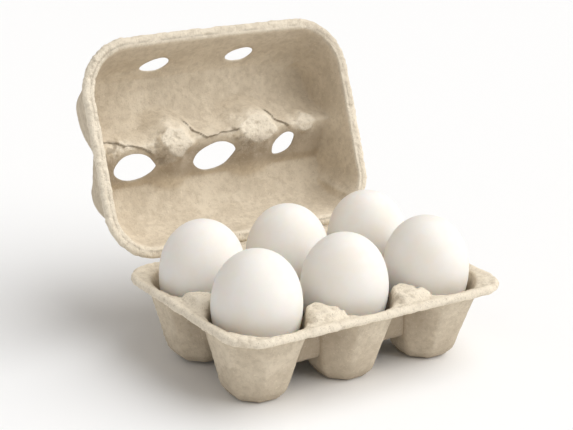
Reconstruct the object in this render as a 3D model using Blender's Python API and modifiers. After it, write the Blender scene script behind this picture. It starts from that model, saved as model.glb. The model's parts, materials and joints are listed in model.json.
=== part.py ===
"""An open half-dozen egg carton of moulded pulp, with six eggs standing in its cups.

The tray's floor plane is z = 0, +X runs along the row of three cups, and +Y points to the hinge side.
The origin lies under the middle of the whole open carton. Lengths are in metres.
"""
import math

import bmesh
import bpy
from mathutils import Matrix

# Cups: two rows of three, one pitch apart.
PITCH = 0.049
CELL = PITCH / 2
COLUMNS = 3
ROWS = 2
CELL_STEPS = 12
PULP = 0.002

# Tray: outer half sizes of its rim, and its heights.
TRAY_HALF_X = 0.0776
TRAY_HALF_Y = 0.0567
TRAY_CORNER = 0.0175
RIM_Z = 0.0408
LIP = 0.0048
LIP_DROP = 0.0012
LIP_FLARE = 0.0008
FOOT_REACH = 0.0130
SADDLE_Z = 0.0140
SADDLE_HALF = 0.0030
SADDLE_RISE = 0.0100
MIDDLE_POST_Z = 0.0470
SIDE_POST_Z = 0.0432
SIDE_POST_INSET = 0.0062
SHORT_FOOT = (-1, 1)
SHORT_FOOT_LIFT = 0.0016
POST_SPREAD = 0.0125

# One row for each ring of a cup, from its middle to its edge: the ring's reach towards the next
# cup, its reach towards the rim as a share of the way from the foot, its height, its roundness.
CUP_RINGS = (
    (0.0000, 0.00, PULP, 0.0),
    (0.0065, 0.00, PULP, 0.0),
    (FOOT_REACH, 0.00, PULP, 0.0),
    (0.0152, 0.17, 0.0085, 0.3),
    (0.0170, 0.48, 0.0220, 0.8),
    (0.0214, 1.00, 0.0394, 1.0),
)

# Lid, seen closed: measured forwards from the hinge axis and upwards from the rim plane.
LID_HALF_X = 0.0788
LID_LENGTH = 0.1112
LID_FRONT_CORNER = 0.0305
LID_FRONT_BOW = 0.0010
LID_BACK_CORNER = 0.0260
LID_SIDE_DRAFT = 0.0050
HINGE_GAP = 0.0005
CLOSED_GAP = 0.0004
LIP_RISE = 0.0004
OPEN_ANGLE = math.radians(111)
LID_PROFILE = (
    (0.0000, 0.0000),
    (LIP, LIP_RISE),
    (0.0085, 0.0105),
    (0.0140, 0.0205),
    (0.0200, 0.0270),
    (0.0265, 0.0300),
    (0.0325, 0.0312),
    (0.0375, 0.0312),
    (0.0425, 0.0270),
    (0.0480, 0.0226),
    (0.0535, 0.0183),
    (0.0575, 0.0163),
    (0.0615, 0.0200),
    (0.0670, 0.0262),
    (0.0735, 0.0304),
    (0.0800, 0.0319),
    (0.0870, 0.0316),
    (0.0930, 0.0292),
    (0.0975, 0.0236),
    (0.1010, 0.0150),
    (0.1038, 0.0070),
    (LID_LENGTH - LIP, LIP_RISE),
    (LID_LENGTH, 0.0000),
)
LID_POST_V = 0.0550
LID_POST_TIP = 0.0105
LID_POST_FLAT = 0.0020
LID_POST_SLOPE = 1.05
LID_POST_FRONT = 0.75
LID_POST_BACK = 0.55
END_POST_X = 0.0650
END_POST_RISE = 0.0035
SIDE_WALL_TOP = 0.0330
SIDE_WALL_SPAN = 1.6
POST_BLEND = 0.0030
WALL_BLEND = 0.0060
CELL_COLUMNS = 4

# Openings in the lid: middle along X, length, width, and turn in degrees.
VIEW_HOLES = (
    (-0.0472, 0.0245, 0.0152, 0),
    (-0.0003, 0.0255, 0.0165, 0),
    (0.0438, 0.0180, 0.0145, 14),
)
VIEW_HOLE_V = 0.0480
VIEW_HOLE_W = 0.0225
VIEW_HOLE_TILT = math.radians(38)
LATCH_SLOTS = ((-0.0265, 0.0170, 0.0124, 0), (0.0258, 0.0178, 0.0124, 0))
LATCH_SLOT_V = 0.0985
LATCH_SLOT_W = 0.0214
LATCH_SLOT_TILT = math.radians(-66)
CUTTER_DEPTH = 0.016

# Eggs, blunt end up: column, row, length, diameter, lean towards +X and towards +Y in degrees.
EGG_BASE_Z = 0.0114
EGG_BLUNTNESS = 0.10
EGG_RINGS = 12
EGG_STEPS = 14
EGGS = (
    ("egg_front_left", -1, -1, 0.0588, 0.0424, 0.0, 0.0),
    ("egg_front_middle", 0, -1, 0.0582, 0.0420, -0.5, 0.0),
    ("egg_front_right", 1, -1, 0.0586, 0.0420, -2.5, 0.5),
    ("egg_back_left", -1, 1, 0.0586, 0.0420, 3.0, 0.0),
    ("egg_back_middle", 0, 1, 0.0584, 0.0418, 0.5, 0.0),
    ("egg_back_right", 1, 1, 0.0580, 0.0418, -2.0, -1.0),
)

# The middle of the tray, so that the origin falls under the middle of the open carton.
TRAY_Y = -0.0314


def clear_scene():
    """Start from an empty scene."""
    for obj in list(bpy.data.objects):
        bpy.data.objects.remove(obj, do_unlink=True)


def new_collection(name, hidden):
    """A collection in the scene, left out of renders if it holds helpers."""
    collection = bpy.data.collections.new(name)
    collection.hide_render = hidden
    bpy.context.scene.collection.children.link(collection)
    return collection


def make_material(name, colour, roughness):
    """A plain matt finish."""
    material = bpy.data.materials.new(name)
    material.use_nodes = True
    shader = material.node_tree.nodes["Principled BSDF"]
    shader.inputs["Base Color"].default_value = (*colour, 1.0)
    shader.inputs["Roughness"].default_value = roughness
    shader.inputs["Metallic"].default_value = 0.0
    return material


def pulp_material():
    """Bare, undyed moulded pulp."""
    return make_material("moulded_pulp", (0.61, 0.52, 0.40), 0.95)


def shell_material():
    """White eggshell."""
    return make_material("white_eggshell", (0.86, 0.83, 0.77), 0.55)


def make_object(name, bm, collection, parent, material=None):
    """Turn a bmesh into a named object under its parent."""
    mesh = bpy.data.meshes.new(name)
    bm.to_mesh(mesh)
    bm.free()
    obj = bpy.data.objects.new(name, mesh)
    obj.parent = parent
    if material:
        mesh.materials.append(material)
    collection.objects.link(obj)
    return obj


def make_empty(name, location, collection, parent=None):
    """A plain axes marker that other objects hang on."""
    empty = bpy.data.objects.new(name, None)
    empty.location = location
    empty.parent = parent
    collection.objects.link(empty)
    return empty


def smooth_step(share):
    """0 to 1 with level ends."""
    share = min(max(share, 0.0), 1.0)
    return share * share * (3 - 2 * share)


def soft_min(first, second, blend):
    """The lower of two heights, rounded over where they meet."""
    low = max(min(first, second), 0.0)
    blend = max(min(blend, low), 1e-6)
    overlap = max(blend - abs(first - second), 0.0) / blend
    return min(first, second) - overlap * overlap * blend / 4


def mix(first, second, share):
    """A straight blend of two numbers."""
    return first + (second - first) * share


def corner_arc(x, y, half_x, half_y, radius):
    """Bend the corner of a rectangle's outline into an arc; x and y are positive and on the outline."""
    core_x = half_x - radius
    core_y = half_y - radius
    if radius <= 0 or x <= core_x or y <= core_y:
        return x, y
    if half_x - x < half_y - y:
        angle = math.radians(45) * (y - core_y) / radius
    else:
        angle = math.radians(90) - math.radians(45) * (x - core_x) / radius
    return core_x + radius * math.cos(angle), core_y + radius * math.sin(angle)


def outward_direction(x, y, half_x, half_y, radius):
    """The way out of a rounded rectangle at a point of its outline."""
    past_x = abs(x) - (half_x - radius)
    past_y = abs(y) - (half_y - radius)
    if past_x > 0 and past_y > 0:
        size = math.hypot(past_x, past_y)
        return math.copysign(past_x / size, x), math.copysign(past_y / size, y)
    if half_x - abs(x) < half_y - abs(y):
        return math.copysign(1.0, x), 0.0
    return 0.0, math.copysign(1.0, y)


def grid_steps(vertex, steps_x, steps_y):
    """The column and row of a vertex in a grid that runs from -1 to 1."""
    column = round((vertex.co.x + 1) / 2 * steps_x)
    row = round((vertex.co.y + 1) / 2 * steps_y)
    return column, row


def add_lip_edge(bm, half_x, half_y, radius, middle_y, rise):
    """Fold the sheet's free edge outwards and a little up or down, all round."""
    border = [edge for edge in bm.edges if edge.is_boundary]
    made = bmesh.ops.extrude_edge_only(bm, edges=border)["geom"]
    for vertex in [item for item in made if isinstance(item, bmesh.types.BMVert)]:
        out_x, out_y = outward_direction(
            vertex.co.x, vertex.co.y - middle_y, half_x, half_y, radius
        )
        vertex.co.x += out_x * LIP_FLARE
        vertex.co.y += out_y * LIP_FLARE
        vertex.co.z += rise


def add_thickness(obj, offset):
    """Give the sheet the thickness of the pulp, on one side."""
    solidify = obj.modifiers.new("pulp_thickness", "SOLIDIFY")
    solidify.thickness = PULP
    solidify.offset = offset
    solidify.use_even_offset = True


def shade_round(mesh):
    """Smooth shading, with the sharp edges kept."""
    mesh.shade_smooth()
    mesh.set_sharp_from_angle(angle=math.radians(40))


# The tray.


def octagon_share(angle):
    """How far an octagon with flats of reach 1 lies from its middle, in this direction."""
    eighth = math.radians(45)
    return 1 / math.cos((angle + eighth / 2) % eighth - eighth / 2)


def round_share(angle, power=2.1):
    """The same for a slightly squared circle."""
    return (abs(math.cos(angle)) ** power + abs(math.sin(angle)) ** power) ** (-1 / power)


def cup_ring_point(ring, angle, edge_x, edge_y, outer_x, outer_y):
    """A point on one ring of a cup's wall, in one quarter of the cup."""
    reach, share, _, roundness = CUP_RINGS[ring]
    reach_x = mix(FOOT_REACH, edge_x - LIP, share) if outer_x and share else reach
    reach_y = mix(FOOT_REACH, edge_y - LIP, share) if outer_y and share else reach
    size = mix(octagon_share(angle), round_share(angle), roundness)
    return reach_x * size * math.cos(angle), reach_y * size * math.sin(angle)


def cup_edge_point(across, along, edge_x, edge_y, outer_x, outer_y):
    """A point on a cup's outermost outline, where it meets the next cup or ends at the rim."""
    x = across * edge_x
    y = along * edge_y
    if outer_x and outer_y:
        return corner_arc(x, y, edge_x, edge_y, TRAY_CORNER - LIP_FLARE)
    return x, y


def post_height(x, y, edge_x, edge_y, outer_x, outer_y):
    """How much higher than the rim a post stands, near a cup's corner."""
    if outer_x and outer_y:
        return 0.0
    if not outer_x and not outer_y:
        away = math.hypot(CELL - x, CELL - y)
        return (MIDDLE_POST_Z - RIM_Z) * smooth_step(1 - away / POST_SPREAD)
    inward = edge_x - x if outer_x else edge_y - y
    aside = CELL - y if outer_x else CELL - x
    ridge = smooth_step((inward - SIDE_POST_INSET) / LIP)
    return (SIDE_POST_Z - RIM_Z) * ridge * smooth_step(1 - aside / (POST_SPREAD / 2))


def saddle_cap(x, y, outer_x, outer_y):
    """The most a wall may rise between two cups, where the pulp dips to a saddle."""
    if outer_x and outer_y:
        return MIDDLE_POST_Z
    if not outer_x and not outer_y:
        away = min(x, y)
    else:
        away = x if outer_x else y
    rise = smooth_step((away - SADDLE_HALF) / SADDLE_RISE)
    return mix(SADDLE_Z, MIDDLE_POST_Z, rise)


def cup_point(column, row, a, b):
    """A point of the tray's upper surface: a and b run from -1 to 1 across the cup."""
    side_x = 1 if a >= 0 else -1
    side_y = 1 if b >= 0 else -1
    outer_x = column == side_x
    outer_y = row == side_y
    edge_x = TRAY_HALF_X - LIP_FLARE - PITCH if outer_x else CELL
    edge_y = TRAY_HALF_Y - LIP_FLARE - CELL if outer_y else CELL
    level = max(abs(a), abs(b))
    across = abs(a) / level if level else 0.0
    along = abs(b) / level if level else 0.0
    turn = math.radians(45)
    angle = turn * along if across >= along else 2 * turn - turn * across
    ring = round(level * CELL_STEPS / 2)
    if ring < len(CUP_RINGS):
        x, y = cup_ring_point(ring, angle, edge_x, edge_y, outer_x, outer_y)
        z = CUP_RINGS[ring][2]
    else:
        x, y = cup_edge_point(across, along, edge_x, edge_y, outer_x, outer_y)
        z = RIM_Z
    if ring >= len(CUP_RINGS) - 1:
        z += post_height(x, y, edge_x, edge_y, outer_x, outer_y)
    z = min(z, saddle_cap(x, y, outer_x, outer_y))
    if (column, row) == SHORT_FOOT:
        z += SHORT_FOOT_LIFT * smooth_step(1 - z / SADDLE_Z)
    return column * PITCH + side_x * x, row * CELL + side_y * y, z


def make_tray(collection, parent, material):
    """The bottom half: six cups on octagonal feet, with posts between them and a rim all round."""
    steps_x = COLUMNS * CELL_STEPS
    steps_y = ROWS * CELL_STEPS
    bm = bmesh.new()
    bmesh.ops.create_grid(bm, x_segments=steps_x, y_segments=steps_y, size=1)
    for vertex in bm.verts:
        i, j = grid_steps(vertex, steps_x, steps_y)
        column = min(i // CELL_STEPS, COLUMNS - 1)
        row = min(j // CELL_STEPS, ROWS - 1)
        a = (i - column * CELL_STEPS) * 2 / CELL_STEPS - 1
        b = (j - row * CELL_STEPS) * 2 / CELL_STEPS - 1
        vertex.co = cup_point(column - 1, row * 2 - 1, a, b)
    half_x = TRAY_HALF_X - LIP_FLARE
    half_y = TRAY_HALF_Y - LIP_FLARE
    add_lip_edge(bm, half_x, half_y, TRAY_CORNER - LIP_FLARE, 0.0, -LIP_DROP)
    tray = make_object("tray", bm, collection, parent, material)
    add_thickness(tray, -1)
    shade_round(tray.data)
    return tray


# The lid, built closed and then swung open.


def lid_columns():
    """The lid's grid lines across its length, from its left edge to its right one."""
    edge = LID_HALF_X - LIP_FLARE
    half = [edge] + [edge - LIP - share * LID_SIDE_DRAFT for share in (0, 0.2, 0.5, 0.9)]
    step = CELL / CELL_COLUMNS
    half += [step * count for count in range(10, 0, -1)]
    return [-x for x in half] + [0.0] + half[::-1]


def lid_rows():
    """The lid's grid lines from the hinge to the front lip."""
    shrink = (LID_LENGTH - 2 * LIP_FLARE - HINGE_GAP) / LID_LENGTH
    return [HINGE_GAP + LIP_FLARE + v * shrink for v, _ in LID_PROFILE]


def side_wall_height(x):
    """How high the end walls reach at this distance from the middle."""
    inset = LID_HALF_X - LIP_FLARE - LIP - abs(x)
    if inset <= 0:
        return LIP_RISE * (1 - min(-inset / LIP, 1.0))
    return LIP_RISE + SIDE_WALL_TOP * min(inset / LID_SIDE_DRAFT, SIDE_WALL_SPAN)


def lid_post_height(x, v):
    """The roof presses down to a blunt tip between the cups and at both ends."""
    to_post = abs(abs(x) - CELL)
    to_end = max(END_POST_X - abs(x), 0.0)
    spread = LID_POST_FRONT if v > LID_POST_V else LID_POST_BACK
    away = math.hypot(min(to_post, to_end), (v - LID_POST_V) / spread)
    tip = LID_POST_TIP if to_post < to_end else LID_POST_TIP + END_POST_RISE
    return tip + LID_POST_SLOPE * max(away - LID_POST_FLAT, 0.0)


def lid_height(x, row):
    """The height of the lid's inner surface above the rim plane."""
    v, roof = LID_PROFILE[row]
    height = soft_min(roof, lid_post_height(x, v), POST_BLEND)
    return soft_min(height, side_wall_height(x), WALL_BLEND)


def lid_plan(i, j, columns, rows):
    """A grid crossing's place in plan, with the corners of its ring rounded."""
    last_i = len(columns) - 1
    last_j = len(rows) - 1
    ring = min(i, last_i - i, j, last_j - j)
    half_x = abs(columns[ring])
    middle = LID_LENGTH / 2
    front = rows[j] > middle
    half_y = rows[last_j - ring] - middle if front else middle - rows[ring]
    corner = LID_FRONT_CORNER if front else LID_BACK_CORNER
    radius = max(corner - LIP_FLARE - (LID_HALF_X - LIP_FLARE - half_x), 0.0)
    x, y = corner_arc(abs(columns[i]), abs(rows[j] - middle), half_x, half_y, radius)
    v = middle + (y if front else -y)
    bow = LID_FRONT_BOW * (v / LID_LENGTH) ** 4 * (1 - (x / LID_HALF_X) ** 2)
    return math.copysign(x, columns[i]), v + bow


def make_lid_sheet():
    """The lid's inner surface, closed, with the hinge axis along X at the origin."""
    columns = lid_columns()
    rows = lid_rows()
    steps_x = len(columns) - 1
    steps_y = len(rows) - 1
    bm = bmesh.new()
    bmesh.ops.create_grid(bm, x_segments=steps_x, y_segments=steps_y, size=1)
    for vertex in bm.verts:
        i, back_j = grid_steps(vertex, steps_x, steps_y)
        j = steps_y - back_j
        x, v = lid_plan(i, j, columns, rows)
        vertex.co = (x, -v, lid_height(columns[i], j))
    half_x = LID_HALF_X - LIP_FLARE
    half_y = (rows[-1] - rows[0]) / 2
    middle = (rows[-1] + rows[0]) / 2
    add_lip_edge(bm, half_x, half_y, LID_BACK_CORNER - LIP_FLARE, -middle, LIP_DROP)
    return bm


def make_cutter(name, size, turn, place, tilt, collection, parent):
    """An oval plug that cuts an opening through the sheet."""
    bm = bmesh.new()
    bmesh.ops.create_cone(
        bm, cap_ends=True, segments=20, radius1=0.5, radius2=0.5, depth=CUTTER_DEPTH
    )
    for vertex in bm.verts:
        vertex.co.x *= size[0]
        vertex.co.y *= size[1]
    spin = Matrix.Rotation(math.radians(turn), 3, "Z")
    bmesh.ops.rotate(bm, cent=(0, 0, 0), matrix=spin, verts=bm.verts)
    cutter = make_object(name, bm, collection, parent)
    cutter.location = place
    cutter.rotation_euler.x = tilt
    cutter.hide_render = True
    cutter.display_type = "WIRE"
    return cutter


def lid_cutters(collection, parent):
    """Three view holes in the back of the groove and two latch slots in the front wall."""
    kinds = (
        ("view_hole", VIEW_HOLES, VIEW_HOLE_V, VIEW_HOLE_W, VIEW_HOLE_TILT),
        ("latch_slot", LATCH_SLOTS, LATCH_SLOT_V, LATCH_SLOT_W, LATCH_SLOT_TILT),
    )
    cutters = []
    for kind, openings, v, w, tilt in kinds:
        for index, (x, long, wide, turn) in enumerate(openings):
            name = f"{kind}_{index}"
            place = (x, -v, w)
            cutter = make_cutter(name, (long, wide), turn, place, tilt, collection, parent)
            cutters.append(cutter)
    return cutters


def make_lid(collection, cutter_collection, parent, material):
    """The domed lid, hung on the hinge line and opened."""
    hinge = make_empty("lid_hinge", (0.0, TRAY_HALF_Y, RIM_Z + CLOSED_GAP), collection, parent)
    hinge.rotation_euler.x = -OPEN_ANGLE
    lid = make_object("lid", make_lid_sheet(), collection, hinge, material)
    add_thickness(lid, 1)
    for cutter in lid_cutters(cutter_collection, hinge):
        cut = lid.modifiers.new(cutter.name, "BOOLEAN")
        cut.operation = "DIFFERENCE"
        cut.object = cutter
    shade_round(lid.data)
    return lid


# The eggs.


def egg_outline(length, diameter):
    """An egg's profile from its blunt top to its pointed foot, as (radius, height) pairs."""
    raw = []
    for step in range(EGG_RINGS + 1):
        angle = math.pi * step / EGG_RINGS
        height = math.cos(angle)
        raw.append((math.sin(angle) * math.exp(EGG_BLUNTNESS * height), height))
    widest = max(radius for radius, _ in raw)
    half = length / 2
    return [(radius / widest * diameter / 2, half * height) for radius, height in raw]


def make_egg(egg, collection, parent, material):
    """One egg, turned about its long axis, with its middle at its origin."""
    name, column, row, length, diameter, lean_x, lean_y = egg
    bm = bmesh.new()
    points = [bm.verts.new((radius, 0.0, height)) for radius, height in egg_outline(length, diameter)]
    for first, second in zip(points, points[1:]):
        bm.edges.new((first, second))
    obj = make_object(name, bm, collection, parent, material)
    obj.location = (column * PITCH, row * CELL, EGG_BASE_Z + length / 2)
    obj.rotation_euler = (-math.radians(lean_y), math.radians(lean_x), 0.0)
    screw = obj.modifiers.new("turned", "SCREW")
    screw.angle = math.radians(360)
    screw.steps = EGG_STEPS
    screw.render_steps = EGG_STEPS
    screw.use_merge_vertices = True
    screw.merge_threshold = 0.00001
    screw.use_smooth_shade = True
    return obj


def main():
    """Build the open carton and its eggs."""
    clear_scene()
    pieces = new_collection("egg_carton", hidden=False)
    cutters = new_collection("cutters", hidden=True)
    carton = make_empty("carton", (0.0, TRAY_Y, 0.0), pieces)
    pulp = pulp_material()
    shell = shell_material()
    make_tray(pieces, carton, pulp)
    make_lid(pieces, cutters, carton, pulp)
    for egg in EGGS:
        make_egg(egg, pieces, carton, shell)


main()
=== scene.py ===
# %% [markdown]
# # An open egg carton of moulded pulp, with six eggs
# A half-dozen carton is pressed from wet paper pulp on a mesh mould: a tray of six cups on
# eight-sided feet, and a domed lid hinged to it along one long edge. Here it stands open with a
# white egg in each cup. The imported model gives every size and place. This script gives the looks:
# it forms the pulp and the eggs again as fine meshes in the same space, and makes their surfaces.

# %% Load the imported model
import itertools
import json
import math

import bmesh
import bpy
import numpy as np
from mathutils import Matrix, Vector


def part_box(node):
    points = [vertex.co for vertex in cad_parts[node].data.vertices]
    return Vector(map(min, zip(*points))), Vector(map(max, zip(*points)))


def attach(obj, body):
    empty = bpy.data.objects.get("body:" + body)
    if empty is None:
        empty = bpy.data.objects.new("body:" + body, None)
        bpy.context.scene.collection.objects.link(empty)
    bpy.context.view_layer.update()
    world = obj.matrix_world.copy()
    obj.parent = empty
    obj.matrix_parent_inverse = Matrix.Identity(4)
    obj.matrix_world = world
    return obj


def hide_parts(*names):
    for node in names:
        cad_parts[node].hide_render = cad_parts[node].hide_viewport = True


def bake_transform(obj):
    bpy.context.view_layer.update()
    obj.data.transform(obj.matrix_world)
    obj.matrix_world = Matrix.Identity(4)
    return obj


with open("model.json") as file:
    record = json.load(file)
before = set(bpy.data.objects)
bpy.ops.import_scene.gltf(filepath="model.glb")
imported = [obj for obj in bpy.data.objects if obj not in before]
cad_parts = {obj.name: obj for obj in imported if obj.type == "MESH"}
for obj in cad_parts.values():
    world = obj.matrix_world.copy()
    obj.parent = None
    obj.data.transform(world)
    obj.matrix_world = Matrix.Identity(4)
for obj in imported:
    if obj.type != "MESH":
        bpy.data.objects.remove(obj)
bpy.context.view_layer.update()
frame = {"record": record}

# %% [markdown]
# ## Sizes
# All lengths are in metres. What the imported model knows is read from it, such as the tray's
# outline and the hinge. The rest are the driving sizes of the mould. They follow the solids, except
# that the feet taper more here and are narrower where they stand.

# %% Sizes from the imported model
MM = 0.001
hinge_joint = frame["record"]["behaviour"]["joints"][0]
HINGE = Vector(hinge_joint["pos_m"])
OPEN_ANGLE = math.radians(-min(hinge_joint["range_deg"]))
tray_low, tray_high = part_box("tray")
TRAY_HALF_X = (tray_high[0] - tray_low[0]) / 2
TRAY_HALF_Y = (tray_high[1] - tray_low[1]) / 2
TRAY_MIDDLE_Y = (tray_high[1] + tray_low[1]) / 2
lid_low, lid_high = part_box("lid")
LID_HALF_X = (lid_high[0] - lid_low[0]) / 2
print("tray half sizes", TRAY_HALF_X, TRAY_HALF_Y, "lid half width", LID_HALF_X)

# %% Sizes of the mould
PITCH = 49 * MM
CELL = PITCH / 2
PULP = 2 * MM
LIP = 4.8 * MM
LIP_FLARE = 0.8 * MM
EDGE_ROLL = 2.0 * MM
LIP_FLAT = LIP + LIP_FLARE - EDGE_ROLL
RIM_Z = 40.8 * MM

# %% [markdown]
# ## Small helpers for shapes
# Every pulp surface below starts as a flat pattern, a grid, and is pressed into shape by a
# function of the place in the pattern. numpy works on all the points at once, so a fine grid
# costs no time. These helpers round and blend the shapes, as wet pulp does over a mould.


# %% Rounding and blending
def smooth_step(share):
    """0 to 1 with level ends."""
    share = np.clip(share, 0, 1)
    return share * share * (3 - 2 * share)


def mix(first, second, share):
    """A straight blend."""
    return first + (second - first) * share


def soft_min(first, second, blend):
    """The lower of two heights, rounded over where they meet."""
    overlap = np.maximum(blend - np.abs(first - second), 0) / blend
    return np.minimum(first, second) - overlap * overlap * blend / 4


def soft_line(at, knots, values, radius):
    """A bent line with its corners rounded over this radius."""
    total = 0.0
    weights = 0.0
    for offset in np.linspace(-1, 1, 9):
        weight = 1.1 - abs(offset)
        total = total + weight * np.interp(at + offset * radius, knots, values)
        weights += weight
    return total / weights


# %% [markdown]
# Hand-made pulp is never even. `lumps` gives soft random hills and hollows: random numbers on a
# lattice, blended between its corners. The seed makes it the same each time.


# %% Soft random lumps
def lumps(points, size, seed):
    """Random hills and hollows between -1 and 1, about one size apart. size may differ along X, Y, Z."""
    cells = 32
    lattice = np.random.default_rng(seed).uniform(-1, 1, (cells, cells, cells))
    place = points / np.asarray(size)
    corner = np.floor(place).astype(int)
    share = smooth_step(place - corner)
    total = np.zeros(len(points))
    for step in itertools.product((0, 1), repeat=3):
        weight = np.prod(np.where(step, share, 1 - share), axis=1)
        index = (corner + step) % cells
        total += weight * lattice[index[:, 0], index[:, 1], index[:, 2]]
    return total


def rough(points, size, seed):
    """Lumps on lumps: three sizes, each half of the one before."""
    total = lumps(points, size, seed)
    total += 0.5 * lumps(points, np.asarray(size) / 2, seed + 1)
    total += 0.25 * lumps(points, np.asarray(size) / 4, seed + 2)
    return total / 1.75


# %% Mesh arrays
def read_points(mesh):
    """The mesh's points as an array."""
    points = np.empty(len(mesh.vertices) * 3)
    mesh.vertices.foreach_get("co", points)
    return points.reshape(-1, 3)


def write_points(mesh, points):
    """Move the mesh's points."""
    mesh.vertices.foreach_set("co", np.asarray(points, dtype=float).ravel())
    mesh.update()


def read_normals(mesh):
    """The way each point of the mesh faces."""
    normals = np.empty(len(mesh.vertices) * 3)
    mesh.vertex_normals.foreach_get("vector", normals)
    return normals.reshape(-1, 3)


def write_mask(mesh, name, values):
    """Keep a number on each point, for a material or a later step to read."""
    attribute = mesh.attributes.get(name) or mesh.attributes.new(name, "FLOAT", "POINT")
    attribute.data.foreach_set("value", np.asarray(values, dtype=np.float32))


def read_mask(mesh, name):
    """The numbers kept under this name."""
    values = np.empty(len(mesh.vertices), dtype=np.float32)
    mesh.attributes[name].data.foreach_get("value", values)
    return values


# %% [markdown]
# ## The sheet of pulp
# A moulded sheet has a free edge all round, its lip, rolled over a little by the mould. The
# pattern's border is extruded in a few rows, and each row's share of the way round is kept in
# the pattern's third coordinate. Solidify then gives the sheet its body. Its thickness follows a
# vertex group, so that the lip is a full bead and a hole's edge is thin and worn.

# %% Pattern and thickness
LIP_ROWS = 8
ROLL_TURN = math.radians(155)
BEAD = 3.1 * MM
ROLL_BODY = 1.9 * MM


def flat_pattern(xs, ys):
    """A flat grid with its lines at these places."""
    bm = bmesh.new()
    bmesh.ops.create_grid(bm, x_segments=len(xs) - 1, y_segments=len(ys) - 1, size=1)
    for vertex in bm.verts:
        i = round((vertex.co.x + 1) / 2 * (len(xs) - 1))
        j = round((vertex.co.y + 1) / 2 * (len(ys) - 1))
        vertex.co = (xs[i], ys[j], 0)
    return bm


def add_lip_rows(bm, border):
    """Extrude the border, and number the rows from 0 to 1 in the pattern's third coordinate."""
    for row in range(LIP_ROWS):
        made = bmesh.ops.extrude_edge_only(bm, edges=border)["geom"]
        for item in made:
            if isinstance(item, bmesh.types.BMVert):
                item.co.z = (row + 1) / LIP_ROWS
        border = [item for item in made if isinstance(item, bmesh.types.BMEdge) and item.is_boundary]


def thicken(obj, weights, offset):
    """Give the sheet its body, thick where the weights are 1, and keep the result as the mesh."""
    group = obj.vertex_groups.new(name="thickness")
    for index, weight in enumerate(weights):
        group.add([index], float(weight), "REPLACE")
    solidify = obj.modifiers.new("pulp_body", "SOLIDIFY")
    solidify.thickness = BEAD
    solidify.offset = offset
    solidify.vertex_group = "thickness"
    graph = bpy.context.evaluated_depsgraph_get()
    mesh = bpy.data.meshes.new_from_object(obj.evaluated_get(graph))
    obj.modifiers.clear()
    obj.vertex_groups.clear()
    obj.data = mesh


def lip_weights(body, share):
    """The sheet's thickness as a share of the bead, falling to the roll's own round the edge."""
    return mix(body, ROLL_BODY / BEAD, smooth_step(share * 2.2))


def new_piece(name, bm):
    """A new object in the scene."""
    mesh = bpy.data.meshes.new(name)
    bm.to_mesh(mesh)
    bm.free()
    piece = bpy.data.objects.new(name, mesh)
    bpy.context.scene.collection.objects.link(piece)
    return piece


def outward(x, y, half_x, half_y, radius):
    """The way out of a rounded rectangle at points of its outline."""
    past_x = np.abs(x) - (half_x - radius)
    past_y = np.abs(y) - (half_y - radius)
    corner = (past_x > 0) & (past_y > 0)
    on_side = half_x - np.abs(x) < half_y - np.abs(y)
    out_x = np.where(corner, past_x, np.where(on_side, 1.0, 0.0)) * np.sign(x)
    out_y = np.where(corner, past_y, np.where(on_side, 0.0, 1.0)) * np.sign(y)
    size = np.maximum(np.hypot(out_x, out_y), 1e-9)
    return out_x / size, out_y / size


def corner_arc(x, y, half_x, half_y, radius):
    """Bend a rectangle's corners into arcs, for positive points on its outline."""
    radius = np.maximum(radius, 1e-9)
    core_x = half_x - radius
    core_y = half_y - radius
    bent = (x > core_x) & (y > core_y)
    eighth = math.radians(45)
    low = half_x - x < half_y - y
    angle = np.where(low, eighth * (y - core_y) / radius, 2 * eighth - eighth * (x - core_x) / radius)
    return (
        np.where(bent, core_x + radius * np.cos(angle), x),
        np.where(bent, core_y + radius * np.sin(angle), y),
    )


# %% [markdown]
# Wet pulp dries with a skin of lumps: broad waves from the drying, small nodules of fibre, and
# pits where air was caught. The walls, pressed against the mould, are nearly smooth. The posts and
# the lip, which no mould face rubs, are rough. So the points are moved along their normals, by an
# amount that the marks on the sheet set. Finer grain than the mesh can carry is in the material.


# %% Relief
# Heights and depths in millimetres, and how far apart the lumps lie.
WAVE_HEIGHT = 0.30
WAVE_SIZE = 9 * MM
NODULE_SIZE = 2.8 * MM
NODULE_ON_WALL = 0.10
NODULE_ON_LIP = 0.42
NODULE_ON_POST = 0.55
CRUMB_SIZE = 1.5 * MM
CRUMB_HEIGHT = 0.12
PIT_SIZE = 1.9 * MM
PIT_IN_LIP = 0.30
PIT_IN_POST = 0.60
TEAR_DEPTH = 0.9


def add_relief(mesh, seed):
    """Move the surface in and out by fractions of a millimetre."""
    points = read_points(mesh)
    lip = read_mask(mesh, "lip")
    post = read_mask(mesh, "post")
    crack = read_mask(mesh, "crack")
    wave = WAVE_HEIGHT * rough(points, WAVE_SIZE, seed)
    nodule = rough(points, NODULE_SIZE, seed + 3)
    pit = smooth_step((lumps(points, PIT_SIZE, seed + 6) - 0.30) / 0.35)
    crumb = lumps(points, CRUMB_SIZE, seed + 8)
    amount = wave + NODULE_ON_WALL * nodule
    amount = amount + lip * (NODULE_ON_LIP * nodule + CRUMB_HEIGHT * crumb - PIT_IN_LIP * pit)
    amount = amount + post * (NODULE_ON_POST * nodule - PIT_IN_POST * pit)
    inner = np.arange(len(points)) < len(points) // 2
    amount = amount - TEAR_DEPTH * crack * inner
    write_points(mesh, points + read_normals(mesh) * (amount * MM)[:, None])
    # The pits are also darkened in the material, as painted shade.
    write_mask(mesh, "pit", pit * np.maximum(post, 0.5 * lip))


def keep_in_box(mesh, low, high):
    """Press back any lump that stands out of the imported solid's box."""
    write_points(mesh, np.clip(read_points(mesh), np.array(low), np.array(high)))


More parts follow.
